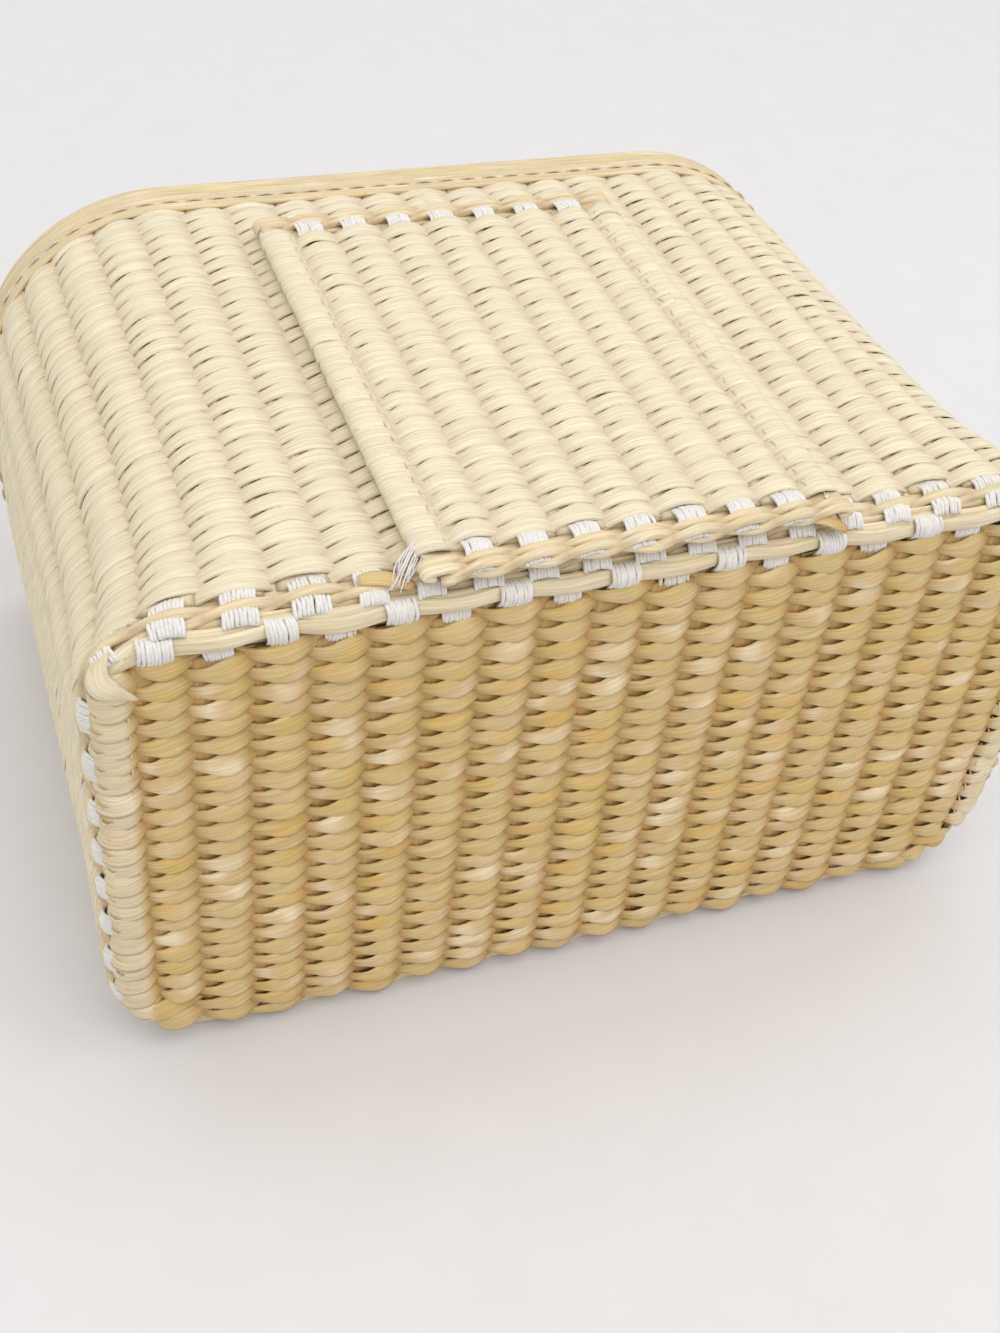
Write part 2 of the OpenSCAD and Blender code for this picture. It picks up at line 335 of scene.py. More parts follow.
class Wall:
    """The wall: s round its outline, v up from the base's front, and h out of its middle plane."""

    def __init__(self, sizes, weave):
        self.sizes = sizes
        self.foot = mat_thickness(weave)
        grow = sizes.wall_proud - weave.relief
        self.low_r, self.top_r = sizes.low_corner + grow, sizes.top_corner + grow
        self.corner = sizes.wall_corner
        self.flat_x = sizes.base_len / 2 + grow - self.corner
        self.flat_z = sizes.base_wid / 2 + grow - self.corner
        self.arc = self.corner * math.pi / 2
        self.quarter = self.flat_x + self.arc + self.flat_z
        self.ribs = 2 * round(2 * self.quarter / weave.warp_pitch)
        self.rib_step = 4 * self.quarter / self.ribs
        self.middle = (weave.relief - weave.mat_core) / 2
        self.lift = sizes.base_wid / 2 + sizes.wall_proud

    def place(self, s, v, h):
        s, v, h = np.broadcast_arrays(s, v, h)
        s = np.mod(s, 4 * self.quarter)
        q = np.floor(s / self.quarter).astype(int)
        t = s - q * self.quarter
        t = np.where(q % 2 == 1, self.quarter - t, t)
        foot = np.where((q == 1) | (q == 2), self.low_r, self.top_r)
        fall = np.exp(-np.maximum(v - self.foot, 0) / self.sizes.wall_settle)
        r = self.corner - (self.corner - foot) * fall
        run, arc = self.corner - r, r * math.pi / 2
        d = np.clip((t - self.flat_x) / self.arc, 0, 1) * (2 * run + arc)
        th = math.pi / 2 - np.clip((d - run) / r, 0, math.pi / 2)
        h = h + self.middle
        x = np.minimum(t, self.flat_x) + np.minimum(d, run) + (r + h) * np.cos(th)
        past = np.maximum(d - run - arc, 0) + np.maximum(t - self.flat_x - self.arc, 0)
        z = self.flat_z + run + (r + h) * np.sin(th) - past
        x = np.where(q < 2, x, -x)
        z = np.where((q == 0) | (q == 3), z, -z)
        return np.stack([x, v - self.sizes.pouch_h / 2, z + self.lift], 1)

    def along_warp(self, s, v):
        ahead = self.place(s, v + MM, 0.0) - self.place(s, v - MM, 0.0)
        return ahead / np.linalg.norm(ahead, axis=1, keepdims=True)


def lay(strands, surface, weft, v, swing):
    """Lays a weft on a surface at the row v, with its level times swing as its height."""
    row = v + weft.drift
    path = surface.place(weft.at, row, weft.level * swing)
    hint = surface.along_warp(weft.at, row)
    strands.add(path, hint, weft.half_w, weft.half_t, weft.roll,
                weft.closed, weft.seed, weft.shown)


def lay_turned(strands, surface, weft, v, swing, reach, step):
    """Lays a weft on a flat mat, and turns the ends on top round the selvage to its back."""
    turn = np.linspace(0, math.pi * 0.9, 10)[1:]
    run = [weft.at, v + weft.drift, weft.level * swing,
           weft.half_w, weft.half_t, weft.roll, weft.shown]
    for end in (0, -1):
        x, row, rise, w, t, roll, shown = (values[end] for values in run)
        if rise < 0:
            continue
        more = [
            x + np.sign(x) * reach * np.sin(turn),
            row + step * (1 - np.cos(turn)) / 2,
            rise * np.cos(turn),
            *(np.full(len(turn), value) for value in (w, t, roll, shown)),
        ]
        run = [
            np.concatenate([values, added] if end else [added[::-1], values])
            for added, values in zip(more, run)
        ]
    x, row, rise, w, t, roll, shown = run
    path = surface.place(x, row, rise)
    strands.add(path, surface.along_warp(x, row), w, t, roll, False, weft.seed, shown)


def core(strands, surface, at, rows, half_w, half_t):
    """The hidden run of a warp bundle, which the straws cover. It counts as tucked, so the
    straw material gives it the dark brown of painted shade instead of the warp's white.
    """
    at = np.full(len(rows), at)
    path = surface.place(at, rows, 0.0)
    out = surface.place(at, rows, MM) - path
    strands.add(path, np.cross(np.gradient(path, axis=0), out), half_w, half_t, shown=0.0)


def bundle(strands, surface, at, rows, heights, weave, rng, lean=0.0, count=9):
    """A bundle of warp threads side by side, through the given rows and heights."""
    knots = np.arange(len(rows))
    fine = np.linspace(0, len(rows) - 1, 2 * len(rows))
    v, h = np.interp(fine, knots, rows), np.interp(fine, knots, heights)
    smooth = np.array([0.25, 0.5, 0.25])
    v[1:-1], h[1:-1] = np.convolve(v, smooth, "valid"), np.convolve(h, smooth, "valid")
    stray, waver, bulge, uneven = 0.08 * MM, 0.06 * MM, 0.45 * MM, 0.05 * MM
    width = (weave.warp_w - 2 * weave.thread_r) * rng.uniform(0.9, 1.08)
    for place in np.linspace(-0.5, 0.5, count):
        side = at + place * width + lean * (fine / fine[-1] - 0.5)
        side = side + rng.normal(0, stray) + waver * np.sin(fine * 2 + rng.uniform(0, 6))
        crown = (1 - 4 * place * place) * bulge + rng.normal(0, uneven)
        path = surface.place(side, v, h + crown)
        hint = surface.place(side + 0.1 * MM, v, h + crown) - path
        strands.add_thread(path, hint, weave.thread_r, rng)


# Materials


class Shader:
    """Short hand for building a material's nodes."""

    def __init__(self, name):
        self.material = bpy.data.materials.new(name)
        self.material.use_nodes = True
        self.tree = self.material.node_tree
        self.surface = self.tree.nodes["Principled BSDF"]

    def node(self, kind, sockets=None, **settings):
        made = self.tree.nodes.new(kind)
        for key, value in settings.items():
            setattr(made, key, value)
        for key, value in (sockets or {}).items():
            self.feed(made.inputs[key], value)
        return made

    def feed(self, socket, value):
        """Links an output to a socket, or sets the socket to a plain value."""
        if isinstance(value, bpy.types.NodeSocket):
            self.tree.links.new(value, socket)
        else:
            socket.default_value = value

    def stretched_noise(self, vector, scale, detail=2.0, rough=0.5):
        moved = self.node("ShaderNodeMapping", {"Vector": vector, "Scale": scale})
        noise = self.node(
            "ShaderNodeTexNoise",
            {"Vector": moved.outputs["Vector"], "Scale": 1.0, "Detail": detail, "Roughness": rough},
        )
        return noise.outputs["Fac"]

    def ramp(self, value, stops):
        made = self.node("ShaderNodeValToRGB", {"Fac": value})
        points = made.color_ramp.elements
        while len(points) < len(stops):
            points.new(0.5)
        for point, (at, shade) in zip(points, stops):
            point.position = at
            point.color = (*shade, 1.0)
        return made.outputs["Color"]

    def grey(self, value, low, high, start=0.3, end=0.7):
        made = self.node(
            "ShaderNodeMapRange",
            {"Value": value, "From Min": start, "From Max": end, "To Min": low, "To Max": high},
        )
        return made.outputs["Result"]

    def mix(self, fac, a, b, blend="MIX"):
        made = self.node("ShaderNodeMix", data_type="RGBA", blend_type=blend)
        for place, value in ((0, fac), (6, a), (7, b)):
            self.feed(made.inputs[place], value)
        return made.outputs[2]

    def set(self, **sockets):
        for key, value in sockets.items():
            self.feed(self.surface.inputs[key.replace("_", " ")], value)

    def bump(self, height, strength, distance):
        made = self.node(
            "ShaderNodeBump", {"Height": height, "Strength": strength, "Distance": distance}
        )
        self.set(Normal=made.outputs["Normal"])


def blended(a, b, part):
    return tuple(p + (q - p) * part for p, q in zip(a, b))


def straw_material(name, colours, painted_light, edge=None):
    """Straw with lengthwise fibres, whose tone wanders along each strand. The third argument
    paints light: it blends the tones towards a paler straw colour that stands in for the
    stronger light on lit faces, and past edge, on either side of the middle, it is paler still.
    Where a strand's shown value falls towards 0 its colour is mixed with a dark brown of
    painted shade."""
    # Painted light: the tones are paled towards the lit straw colour by the share given.
    tones = [blended(tone, colours.painted_light_straw, painted_light) for tone in (
        colours.straw_gold, colours.straw, colours.straw_green,
        colours.straw_rose, colours.straw_pale,
    )]
    sh = Shader(name)
    strand = sh.node("ShaderNodeAttribute", attribute_name="strand").outputs["Vector"]
    tone = sh.stretched_noise(strand, (0.075, 0.10, 1.0), 1.0)
    lying = sh.ramp(tone, list(zip((0.30, 0.43, 0.50, 0.58, 0.70), tones)))
    if edge is not None:
        place = sh.node("ShaderNodeTexCoord").outputs["Object"]
        x = sh.node("ShaderNodeSeparateXYZ", {"Vector": place}).outputs["X"]
        side = sh.node("ShaderNodeMath", {0: x}, operation="ABSOLUTE").outputs[0]
        paler = sh.grey(side, 0.0, 0.55, edge - MM, edge + MM)
        lying = sh.mix(paler, lying, (*colours.painted_light_straw, 1.0))
    shown = sh.node("ShaderNodeAttribute", attribute_name="shown").outputs["Fac"]
    # Painted shade: tucked straw (shown near 0) is mixed towards a dark brown standing in for the
    # shade in the hollows, itself paled by the painted light share.
    painted_tuck_shade = blended(colours.straw_painted_tuck_shade, colours.painted_light_straw, painted_light * 0.75)
    base = sh.mix(sh.grey(shown, 0.85, 0.0, 0.0, 0.75), lying, (*painted_tuck_shade, 1.0))
    fibre = sh.stretched_noise(strand, (0.09, 2.6, 1.0), 3.0, 0.6)
    shade = sh.grey(fibre, 0.77, 1.08)
    shaded = sh.mix(1.0, base, shade, "MULTIPLY")
    fleck = sh.stretched_noise(strand, (0.35, 1.5, 3.0), 2.0, 0.7)
    worn = sh.mix(sh.grey(fleck, 0.0, 0.22, 0.62, 0.75), shaded, FLECK)
    sh.set(Base_Color=worn, Roughness=sh.grey(fibre, 0.62, 0.44), Specular_IOR_Level=0.35)
    sh.bump(fibre, 0.35, 0.25 * MM)
    return sh.material


def thread_material(name, shade):
    """Matte spun thread with a fine twist."""
    sh = Shader(name)
    strand = sh.node("ShaderNodeAttribute", attribute_name="strand").outputs["Vector"]
    skew = sh.node("ShaderNodeMapping", {"Vector": strand, "Rotation": (0, 0, math.radians(35))})
    twist = sh.stretched_noise(skew.outputs["Vector"], (0.9, 3.5, 1.0), 2.0, 0.6)
    tone = sh.stretched_noise(strand, (0.15, 0.5, 1.0), 1.0)
    aged = blended(shade, AGED_THREAD, 0.3)
    tinted = sh.mix(sh.grey(tone, 0.0, 1.0), (*shade, 1.0), (*aged, 1.0))
    sh.set(Base_Color=sh.mix(1.0, tinted, sh.grey(twist, 0.86, 1.05), "MULTIPLY"),
           Roughness=sh.grey(twist, 0.9, 0.75), Sheen_Weight=0.15)
    sh.bump(twist, 0.4, 0.15 * MM)
    return sh.material


def settings(context):
    scene = context.scene
    return scene.pouch_sizes, scene.pouch_weave, scene.pouch_colours


def started(context, turn):
    """The settings, and the seeded draws of the operator whose turn it is."""
    sizes, weave, colours = settings(context)
    return sizes, weave, colours, np.random.default_rng(weave.seed + turn)


def mat_thickness(weave):
    return weave.mat_core + weave.relief


def swing_of(weave):
    """How far a straw's middle stands from the mat's middle plane on a warp bundle."""
    return mat_thickness(weave) / 2 - weave.straw_half


def rib_places(width, weave):
    """Places of the ribs across a flat mat, between its two selvages."""
    inner = width - 2 * weave.selvage
    count = round(inner / weave.warp_pitch)
    return (np.arange(count) + 0.5) * inner / count - inner / 2


def row_count(run, weave):
    return 2 * round(run / weave.weft_pitch / 2)


def over_under(ribs, row, first=3):
    """+1 where the weft of a row passes over a rib and -1 where it passes under."""
    return np.where((np.arange(ribs) + first + row) % 2 == 0, 1.0, -1.0)


# Pieces


def base_surface(sizes, weave):
    lift = sizes.base_wid / 2 + sizes.wall_proud
    front = -sizes.pouch_h / 2 + mat_thickness(weave) / 2
    return FlatMat((0, front, lift), (0, 0, 1), (0, -1, 0))


def base_reach(x, sizes, side):
    """Distance of the base's border from its middle line at x, on its upper or lower side."""
    r = sizes.top_corner if side > 0 else sizes.low_corner
    over = np.maximum(0, np.abs(x) - (sizes.base_len / 2 - r))
    return sizes.base_wid / 2 - r + np.sqrt(np.maximum(0, r * r - over * over))


def base_half(v, sizes):
    """Half length of the base's row at v."""
    r = sizes.top_corner if v > 0 else sizes.low_corner
    over = max(0.0, abs(v) - (sizes.base_wid / 2 - r))
    return sizes.base_len / 2 - r + math.sqrt(max(0.0, r * r - over * over))


class POUCH_OT_base_mat(bpy.types.Operator):
    """Weave the base: straw wefts turned round its selvages, and its loose border wefts"""

    bl_idname = "pouch.base_mat"
    bl_label = "Base mat"
    curl = 0.3
    core_straw = (5.1 * MM, 0.8 * MM)
    core_inset = 6 * MM
    # Inset from the border, height over and under the warps, half width and half thickness, in mm.
    hidden_wefts = [(0.9, -1.5, -1.5, 1.1, 0.5), (3.6, -1.2, -1.2, 2.4, 0.5)]
    loose_wefts = [(2.4, 1.4, 0.2, 1.65, 0.75), (1.8, 0.2, -0.7, 1.5, 1.1)]

    def execute(self, context):
        sizes, weave, colours, rng = started(context, 0)
        surface = base_surface(sizes, weave)
        swing = swing_of(weave)
        ribs = rib_places(sizes.base_len, weave)
        rows = row_count(sizes.base_wid, weave)
        step = sizes.base_wid / rows
        straws = Strands()
        for k in range(1, rows - 2):
            v = sizes.base_wid * (k / rows - 0.5)
            half = base_half(v, sizes)
            inside = np.abs(ribs) < half - weave.selvage - 2 * MM
            level = over_under(len(ribs), k)[inside]
            edge = half - weave.selvage * SELVAGE_FOLD
            at = np.concatenate([[-edge], ribs[inside], [edge]])
            level = np.concatenate([[-level[0]], level, [-level[-1]]])
            weft = Weft(at, level, weave, rng, ends=min(WIDE_END, 0.6 + 0.2 * k))
            weft.level -= self.curl * max(0, 3 - k)
            reach = half - edge - weave.straw_half
            lay_turned(straws, surface, weft, v, swing, reach, step)
        for x in ribs:
            low, high = (side * (base_reach(x, sizes, side) - self.core_inset) for side in (-1, 1))
            core(straws, surface, x, np.linspace(low, high, 7), *self.core_straw)
        edge = sizes.base_len / 2 - weave.selvage
        # The base's straw gets no painted light; its tucked parts still get painted shade.
        material = straw_material("base straw", colours, 0.0, edge)
        straws.build("base_straw", material, "straw", "base_mat")
        straws = Strands()
        for side in (1, -1):
            self.border(straws, surface, sizes, weave, rng, ribs, side)
        # Painted light: these border straws are paled with a share of 0.6.
        material = straw_material("border straw", colours, 0.6)
        straws.build("base_border", material, "straw", "base_mat")
        return {"FINISHED"}

    def border(self, straws, surface, sizes, weave, rng, ribs, side):
        """Two hidden straws along each border, and along the upper one two loose wefts as well,
        pulled under the warp humps."""
        r = sizes.top_corner if side > 0 else sizes.low_corner
        end = sizes.base_len / 2 - r * 0.12
        inside = np.abs(ribs) < end - 4 * MM
        at = np.concatenate([[-end], ribs[inside], [end]])
        over = over_under(len(ribs), 0)[inside]
        wefts = self.hidden_wefts + self.loose_wefts if side > 0 else self.hidden_wefts
        for inset, high, low, half_w, half_t in np.array(wefts) * MM:
            level = np.concatenate([[0.0], np.where(over > 0, high, low), [0.0]])
            weft = Weft(at, level, weave, rng, straw=(half_w, half_t))
            weft.level = spread(level, False)
            weft.shown = 1.0
            row = side * (base_reach(weft.at, sizes, side) - inset)
            lay(straws, surface, weft, row, 1.0)


class POUCH_OT_base_warps(bpy.types.Operator):
    """Lay the white warp bundles of the base, with humps over its upper border"""

    bl_idname = "pouch.base_warps"
    bl_label = "Base warps"
    # Insets from the border, and heights above the mat's middle plane, in mm.
    tucked = (1.6, 3.4, 5.2, 7.0), (-0.9, -0.6, -0.4, -0.4)
    glimpse = (1.2, 3.0, 4.0, 5.0, 6.0, 7.2, 8.8), (-0.9, -0.6, 0.0, 0.4, 0.4, -0.2, -0.5)
    hump = (
        (3.0, 1.8, 0.9, 0.5, 0.9, 2.0, 3.3, 4.4, 6.0),
        (-2.3, -2.1, -1.2, 0.2, 1.3, 1.9, 1.7, 0.8, -0.2),
    )

    def execute(self, context):
        sizes, weave, colours, rng = started(context, 1)
        surface = base_surface(sizes, weave)
        ribs = rib_places(sizes.base_len, weave)
        warps = Strands(flat=False)
        for x, above in zip(ribs, over_under(len(ribs), 0)):
            for side, shape in ((1, self.glimpse if above > 0 else self.hump), (-1, self.tucked)):
                inset, height = np.array(shape) * MM
                rows = side * base_reach(x, sizes, side) - side * inset
                lean = rng.normal(0.6, 0.4) * MM
                bundle(warps, surface, x, rows, height, weave, rng, lean)
        material = thread_material("white warp", colours.warp)
        warps.build("base_warps", material, "white_warp", "base_warp_ends")
        return {"FINISHED"}


class POUCH_OT_wall_mat(bpy.types.Operator):
    """Weave the wall: closed rounds of straw from the base to the binding"""

    bl_idname = "pouch.wall_mat"
    bl_label = "Wall mat"
    first_row = 3
    core_straw = (4.6 * MM, 1.0 * MM)
    # Heights above the foot of the wall, in mm.
    core_rows = (4, 8, 14, 22, 32, 46, 70, 100, 130)
    twined_straw, twined_swing = (1.35 * MM, 0.9 * MM), 1.0 * MM
    filler_row = 4.4 * MM

    def execute(self, context):
        sizes, weave, colours, rng = started(context, 2)
        wall = Wall(sizes, weave)
        swing = swing_of(weave)
        woven = sizes.pouch_h - sizes.rim_w - wall.foot
        rows = 2 * math.floor(woven / weave.weft_pitch / 2)
        step = woven / rows
        # Painted light: the wall's straw is paled by the painted light share.
        material = straw_material("wall straw", colours, PAINTED_LIGHT_SHARE)
        bands = [
            ("wall_straw_lower", self.first_row, 22),
            ("wall_straw_middle", 22, 42),
            ("wall_straw_upper", 42, rows + 1),
        ]
        for name, start, stop in bands:
            straws = Strands()
            for k in range(start, stop):
                level = over_under(wall.ribs, k, 0)
                weft = Weft(wall.rib_step, level, weave, rng, closed=True, tight=True)
                pull = -0.8 * MM * math.exp(-(k - self.first_row) / 3) * (k % 2 == 0)
                press = min(1.0, 0.62 + 0.1 * (rows - k))
                row = wall.foot + k * step + pull
                lay(straws, wall, weft, row, swing * press)
            if start == self.first_row:
                warp_rows = wall.foot + np.array(self.core_rows) * MM
                for s in np.arange(wall.ribs) * wall.rib_step:
                    core(straws, wall, s, warp_rows, *self.core_straw)
            straws.build(name, material, "straw", "wall_mat")
        straws = Strands()
        self.border(straws, wall, weave, rng)
        # Painted light: the wall's border straws are paled with a share of 0.5.
        material = straw_material("wall border straw", colours, 0.5)
        straws.build("wall_border", material, "straw", "wall_mat")
        return {"FINISHED"}

    def border(self, straws, wall, weave, rng):
        """Two thick wefts that twine along the wall's lower border, and one tucked in behind."""
        for shift, sign in ((0.9 * MM, 1.0), (0.5 * MM, -1.0)):
            level = sign * over_under(wall.ribs, 0, 0)
            weft = Weft(wall.rib_step, level, weave, rng, closed=True, straw=self.twined_straw)
            weft.level = weft.level + 0.3
            lay(straws, wall, weft, wall.foot + shift, self.twined_swing)
        # This filler weft sits low, so its shown weight is low and the straw material paints it
        # part way to the dark brown of painted shade.
        weft = Weft(wall.rib_step, np.full(wall.ribs, -0.45), weave, rng, closed=True)
        lay(straws, wall, weft, wall.foot + self.filler_row, swing_of(weave))


class POUCH_OT_wall_warps(bpy.types.Operator):
    """Lay the white warp bundles of the wall, which show at its lower border except underneath"""

    bl_idname = "pouch.wall_warps"
    bl_label = "Wall warps"
    # Rows above the foot of the wall, and heights above its middle plane, in mm.
    course = (
        (-2.6, -1.6, -0.7, 0.1, 1.0, 1.9, 2.8, 3.8, 5.2, 8.0),
        (-0.6, 0.7, 1.2, 0.9, -0.1, 0.3, 1.1, 1.2, 0.3, -0.1),
    )
    tucked_points = 3
    underneath = 6 * MM

    def execute(self, context):
        sizes, weave, _, rng = started(context, 3)
        wall = Wall(sizes, weave)
        warps = Strands(flat=False)
        rows, height = np.array(self.course) * MM
        rows = wall.foot + rows
        for i in range(wall.ribs):
            s = i * wall.rib_step
            low = wall.place(np.array([s]), wall.foot, 0.0)[0, 2] < self.underneath
            start = self.tucked_points if low else 0
            bundle(warps, wall, s, rows[start:], height[start:], weave, rng, lean=0.4 * MM)
        material = bpy.data.materials["white warp"]
        warps.build("wall_warps", material, "white_warp", "wall_warp_ends")
        return {"FINISHED"}


def panel_surface(sizes, weave):
    front = -sizes.pouch_h / 2 + sizes.panel_setback
    seat = 2 * (sizes.base_wid / 2 + sizes.wall_proud) + sizes.seat_gap
    middle = seat + mat_thickness(weave) / 2
    return FlatMat((sizes.panel_offset, front, middle), (0, 1, 0), (0, 0, 1))


class POUCH_OT_front_panel(bpy.types.Operator):
    """Weave the front panel, with two twined wefts along its ends"""

    bl_idname = "pouch.front_panel"
    bl_label = "Front panel"
    first_row = 4
    wrap = 0.4
    core_straw = (5.1 * MM, 1.0 * MM)
    core_inset = 6 * MM
    # Inset in mm, and which side of the first warp the weft passes.
    twined = ((1.1, 1), (0.9, -1), (2.8, 1), (3.0, -1))
    twined_straw, twined_swing = (1.2 * MM, 0.85 * MM), 1.05 * MM
    twined_step = 0.4 * MM
    filler_inset = 4.6 * MM

    def execute(self, context):
        sizes, weave, colours, rng = started(context, 4)
        surface = panel_surface(sizes, weave)
        swing = swing_of(weave)
        ribs = rib_places(sizes.panel_w, weave)
        rows = row_count(sizes.panel_len, weave)
        half = sizes.panel_w / 2
        edge = half - weave.selvage * SELVAGE_FOLD
        at = np.concatenate([[-edge], ribs, [edge]])
        reach = half - edge - weave.straw_half
        step = sizes.panel_len / rows
        straws = Strands()
        for k in range(self.first_row, rows - 3):
            level = over_under(len(at), k, 2)
            end = min(k, rows - k)
            pull = -0.2 * MM if end % 2 == 0 else -1.4 * MM
            pull *= math.exp(-(end - self.first_row) / 3)
            pull *= 1 if k < rows / 2 else -1
            weft = Weft(at, level, weave, rng, ends=WIDE_END, tight=True)
            lay_turned(straws, surface, weft, k * step + pull, swing, reach, self.wrap * step)
        core_rows = np.linspace(self.core_inset, sizes.panel_len - self.core_inset, 5)
        for x in ribs:
            core(straws, surface, x, core_rows, *self.core_straw)
        # Painted light: the panel's straw is paled by the painted light share.
        material = straw_material("panel straw", colours, PAINTED_LIGHT_SHARE)
        straws.build("panel_straw", material, "straw", "front_panel")
        straws = Strands()
        for low in (True, False):
            for inset, sign in self.twined:
                v = inset * MM if low else sizes.panel_len - inset * MM
                level = sign * over_under(len(at), 0, 2)
                weft = Weft(at, level, weave, rng, straw=self.twined_straw)
                lay_turned(straws, surface, weft, v, self.twined_swing, reach, self.twined_step)
            v = self.filler_inset if low else sizes.panel_len - self.filler_inset
            # This filler weft sits low, so its shown weight is low and the straw material paints it
            # part way to the dark brown of painted shade.
            level = np.full(len(at), -0.4)
            level[[0, -1]] = 0.5
            weft = Weft(at * (half - MM) / edge, level, weave, rng, tight=True)
            lay(straws, surface, weft, v, swing)
        # The panel's border shares the wall border's straw and its painted light.
        material = bpy.data.materials["wall border straw"]
        straws.build("panel_border", material, "straw", "front_panel")
        return {"FINISHED"}


class POUCH_OT_panel_warps(bpy.types.Operator):
    """Lay the white warp bundles of the front panel"""

    bl_idname = "pouch.panel_warps"
    bl_label = "Panel warps"
    # Insets from the end of the panel, and heights above its middle plane, in mm.
    course = (
        (0.2, 1.6, 2.9, 3.9, 5.0, 6.2, 7.6, 9.5),
        (-0.4, -0.3, 0.5, 1.3, 1.45, 1.2, 0.3, -0.1),
    )

    def execute(self, context):
        sizes, weave, _, rng = started(context, 5)
        surface = panel_surface(sizes, weave)
        warps = Strands(flat=False)
        inset, height = np.array(self.course) * MM
        for x in rib_places(sizes.panel_w, weave):
            for rows in (inset, sizes.panel_len - inset):
                bundle(warps, surface, x, rows, height, weave, rng, lean=0.3 * MM)
        material = bpy.data.materials["white warp"]
        warps.build("panel_warps", material, "white_warp", "panel_warp_ends")
        return {"FINISHED"}


class POUCH_OT_rim_binding(bpy.types.Operator):
    """Fold the straw binding over the edge of the mouth and sew it on"""

    bl_idname = "pouch.rim_binding"
    bl_label = "Rim binding"
    fold_r = 2.2 * MM
    plies, around = 30, 216
    ply_cover = 0.62
    wander, wander_run = 0.08 * MM, 14 * MM
    stitch_pitch, stitch_len, stitch_r = 5.2 * MM, 3.4 * MM, 0.32 * MM
    stitch_inset = 2.6 * MM

    def execute(self, context):
        sizes, weave, colours, rng = started(context, 6)
        wall = Wall(sizes, weave)
        outer = sizes.seat_gap + sizes.rim_t / 2 - wall.middle
        inner = -weave.mat_core - 0.5 * MM - sizes.rim_t / 2 - wall.middle
        low = sizes.pouch_h - sizes.rim_w + sizes.seat_gap
        high = sizes.pouch_h - sizes.rim_t / 2
        fold_r, fold = self.fold_r, high - self.fold_r
        bend = np.linspace(0, math.pi / 2, 5)
        straight = np.linspace(low, fold, 7)
        v = np.concatenate([straight, fold + fold_r * np.sin(bend[1:]),
                            fold + fold_r * np.cos(bend), straight[::-1][1:]])
        h = np.concatenate([np.full(7, outer), outer - fold_r * (1 - np.cos(bend[1:])),
                            inner + fold_r * (1 - np.sin(bend)), np.full(6, inner)])
        straws = Strands(flat=False)
        s = np.arange(self.around) / self.around * 4 * wall.quarter
        gap = np.hypot(np.diff(v), np.diff(h))
        run = np.concatenate([[0], np.cumsum(gap)])
        half_w = run[-1] / self.plies * self.ply_cover
        for place in (np.arange(self.plies) + 0.5) / self.plies * run[-1]:
            pv, ph = np.interp(place, run, v), np.interp(place, run, h)
            beyond = place + 0.2 * MM
            ahead = np.interp(beyond, run, v), np.interp(beyond, run, h)
            wave = rng.uniform(0, 6.28)
            path = wall.place(s, pv + self.wander * np.sin(s / self.wander_run + wave), ph)
            hint = wall.place(s, *ahead) - wall.place(s, pv, ph)
            straws.add(path, hint, half_w, sizes.rim_t / 2, 0.0, True, rng.uniform(0, 100))
        # Painted light: the binding's straw is paled with a share of 0.45.
        material = straw_material("binding straw", colours, 0.45)
        straws.build("rim_binding_straw", material, "straw_binding", "rim_binding")
        threads = Strands(flat=False)
        count = round(4 * wall.quarter / self.stitch_pitch)
        part = np.linspace(0, 1, 9)
        arch = np.sin(np.pi * part) ** 0.5 * 0.55 * MM - 0.3 * MM
        for j in range(count):
            s = j * 4 * wall.quarter / count + part * self.stitch_len
            for face, sign in ((outer + sizes.rim_t / 2, 1), (inner - sizes.rim_t / 2, -1)):
                path = wall.place(s, low + self.stitch_inset, face + sign * arch)
                threads.add_thread(path, (0.0, 1.0, 0.0), self.stitch_r, rng)
        material = thread_material("sewing thread", colours.thread)
        threads.build("rim_binding_thread", material, "sewing_thread")
        return {"FINISHED"}


class POUCH_OT_seams(bpy.types.Operator):
    """Sew the seams beside the selvages of the base and the panel"""

    bl_idname = "pouch.seams"
    bl_label = "Seams"
    pitch = 4.2 * MM
    thread_r = 0.22 * MM

    def execute(self, context):
        sizes, weave, _, rng = started(context, 7)
        groove = sizes.base_len / 2 - weave.selvage
        low = -base_reach(groove, sizes, -1) + weave.selvage
        high = base_reach(groove, sizes, 1) - weave.selvage
        surface = base_surface(sizes, weave)
        self.seam("base_seam", "base_seam_thread", surface, groove, low, high, rng)
        groove = sizes.panel_w / 2 - weave.selvage
        low, high = weave.selvage, sizes.panel_len - weave.selvage
        surface = panel_surface(sizes, weave)
        self.seam("panel_seam", "panel_seam_thread", surface, groove, low, high, rng)
        return {"FINISHED"}

    def seam(self, name, node, surface, groove, low, high, rng):
        """Running stitches down both grooves of a mat."""
        threads = Strands(flat=False)
        count = math.floor((high - low) / self.pitch)
        first = (low + high - count * self.pitch) / 2
        part = np.linspace(0, 1, 9)
        h = 0.35 * MM + 1.0 * MM * np.sin(np.pi * part) ** 0.6
        for x in (-groove, groove):
            for j in range(count):
                start = first + j * self.pitch + rng.normal(0, 0.2 * MM)
                v = start + part * rng.uniform(2.6, 3.4) * MM
                lean = rng.normal(0, 0.35 * MM)
                path = surface.place(x + lean * (part - 0.5), v, h)
                threads.add_thread(path, (1.0, 0.0, 0.0), self.thread_r, rng)
        threads.build(name, bpy.data.materials["sewing thread"], "sewing_thread", node)


def sweep(points, count):
    """A smooth path through a few points."""
    points = np.array(points, float)
    knots = np.linspace(0, 1, len(points))
    fine = np.linspace(0, 1, count)
    path = np.stack([np.interp(fine, knots, column) for column in points.T], 1)
    for _ in range(count // 3):
        path[1:-1] = (path[:-2] + 2 * path[1:-1] + path[2:]) / 4
    return path


